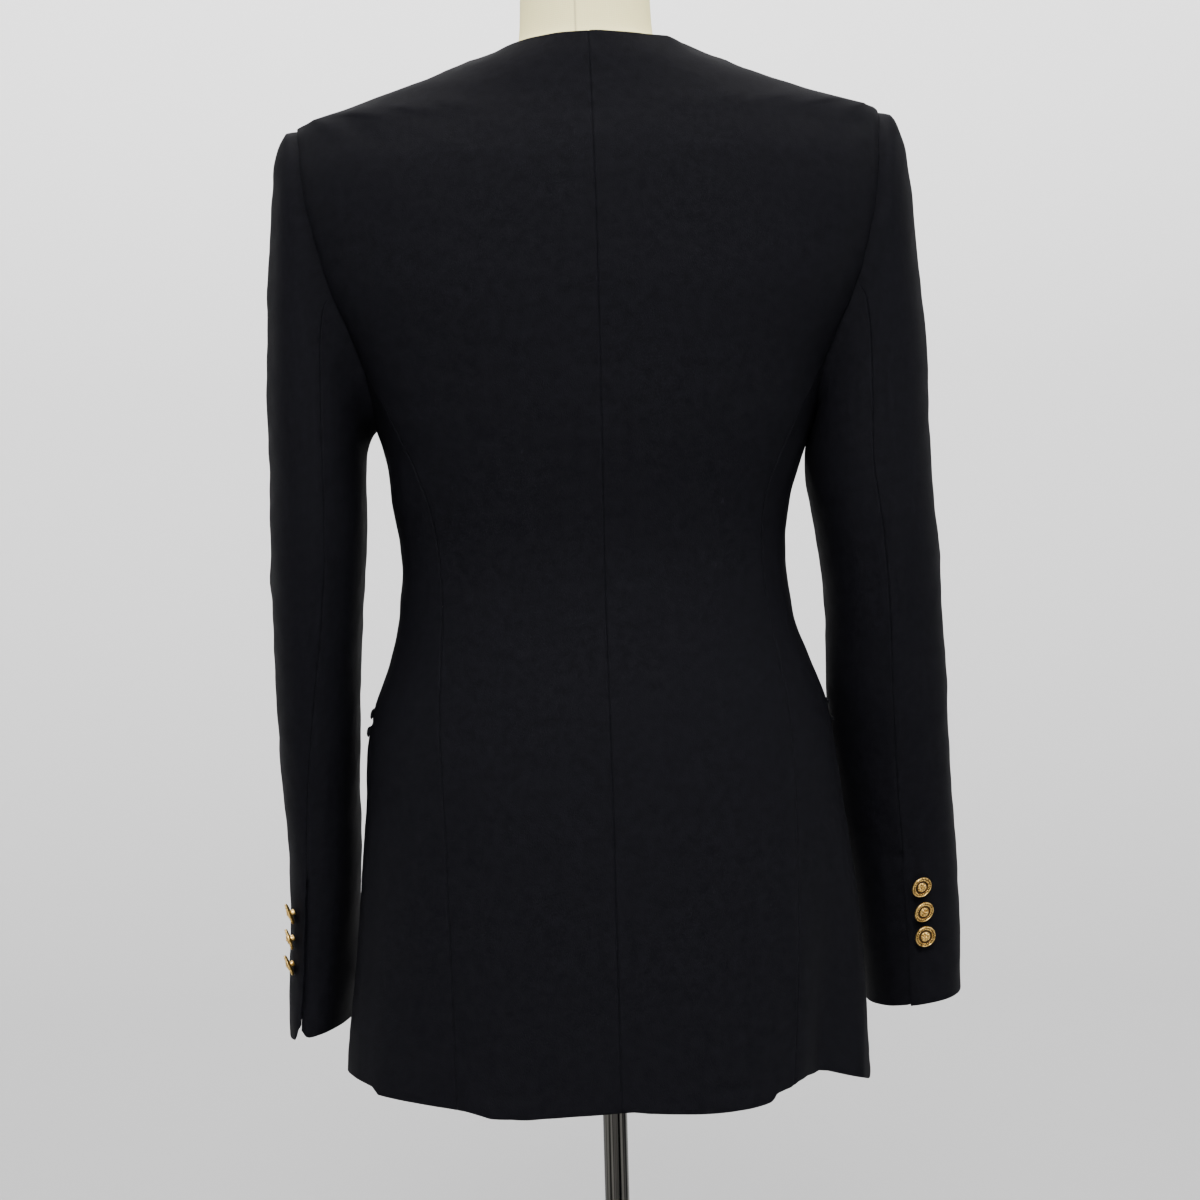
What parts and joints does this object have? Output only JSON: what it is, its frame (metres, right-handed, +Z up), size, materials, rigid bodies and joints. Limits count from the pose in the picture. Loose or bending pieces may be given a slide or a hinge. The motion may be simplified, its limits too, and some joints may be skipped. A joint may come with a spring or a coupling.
{
  "type": "blazer on dress form",
  "caption": "Black collarless women's blazer with padded shoulders and gold cuff buttons on a limbless cream dress form with a chrome pole stand.",
  "frame": {"origin": "middle of the base's underside, on the pole's axis", "axes": "+Z up along the pole, +X to the wearer's left, +Y towards the blazer's back"},
  "size_m": [0.4798, 0.31, 1.2153],
  "materials": {
    "crepe": "black, fine, matt crepe",
    "gold": "antique gold, polished high spots",
    "linen": "cream linen",
    "cap": "pale, satin",
    "chrome": "polished"
  },
  "bodies": {
    "root": {"back_left": "crepe", "back_right": "crepe", "side_left": "crepe", "side_right": "crepe", "front_left": "crepe", "front_right": "crepe", "sleeve_left_upper": "crepe", "sleeve_left_under": "crepe", "sleeve_right_upper": "crepe", "sleeve_right_under": "crepe", "welt_left_upper": "crepe", "welt_left_lower": "crepe", "welt_right_upper": "crepe", "welt_right_lower": "crepe", "cuff_button_left_1": "gold", "cuff_button_left_2": "gold", "cuff_button_left_3": "gold", "cuff_button_right_1": "gold", "cuff_button_right_2": "gold", "cuff_button_right_3": "gold", "front_button_1": "gold", "front_button_2": "gold", "front_button_3": "gold", "form_torso": "linen", "form_cap": "cap", "pole": "chrome", "base": "chrome"}
  },
  "joints": []
}
